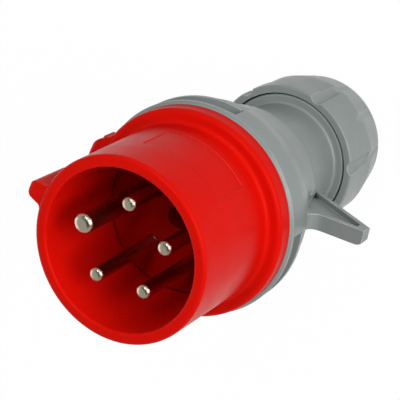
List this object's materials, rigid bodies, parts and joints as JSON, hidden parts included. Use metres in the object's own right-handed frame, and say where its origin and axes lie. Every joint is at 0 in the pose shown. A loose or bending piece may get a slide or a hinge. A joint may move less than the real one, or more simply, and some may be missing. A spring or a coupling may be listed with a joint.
{
  "type": "industrial pin and sleeve plug",
  "caption": "Industrial pin and sleeve plug: a round red shroud with a key rib and contact pins, a grey housing with a latch lug, and a screwed cable gland.",
  "frame": {"origin": "centre of the flat rear face of the gland nut, on the plug's axis, which is the face it stands on", "axes": "+Z along the plug's axis from the cable end to the contact pins; -Y towards the key rib and the earth pin; +X to the right when the key is in front"},
  "size_m": [0.0764, 0.0954, 0.1575],
  "materials": {
    "red_plastic": "smooth moulded nylon, satin gloss",
    "carrier_plastic": "moulded nylon, satin",
    "grey_plastic": "finely textured moulded nylon",
    "nut_plastic": "finely textured moulded nylon",
    "cage_plastic": "moulded nylon",
    "black_plastic": "moulded nylon",
    "ivory_plastic": "smooth acetal",
    "black_rubber": "smooth moulded rubber",
    "nickel": "nickel plated brass, polished",
    "zinc_steel": "zinc plated steel"
  },
  "bodies": {
    "plug": {"front_shroud": "red_plastic", "contact_carrier": "carrier_plastic", "terminal_cover": "black_plastic", "carrier_screw": "zinc_steel", "earth_pin": "nickel", "neutral_pin": "nickel", "line1_pin": "nickel", "line2_pin": "nickel", "line3_pin": "nickel", "earth_screw": "zinc_steel", "neutral_screw": "zinc_steel", "line1_screw": "zinc_steel", "line2_screw": "zinc_steel", "line3_screw": "zinc_steel", "housing_gasket": "black_rubber", "rear_housing": "grey_plastic", "gland_seal": "black_rubber", "clamping_cage": "cage_plastic"},
    "thrust_washer": {"slip_washer": "ivory_plastic"},
    "nut": {"gland_nut": "nut_plastic"}
  },
  "joints": [
    {"name": "nut_travel", "type": "slide", "parent": "plug", "child": "thrust_washer", "axis": [0, 0, -1], "range_m": [0, 0.009]},
    {"name": "nut_turn", "type": "hinge", "parent": "thrust_washer", "child": "nut", "pos_m": [0, 0, 0.014], "axis": [0, 0, -1], "range_deg": [0, 1080]}
  ],
  "couplings": [
    {"joint": "nut_travel", "follows": "nut_turn", "m_per_rad": 0.000477}
  ]
}
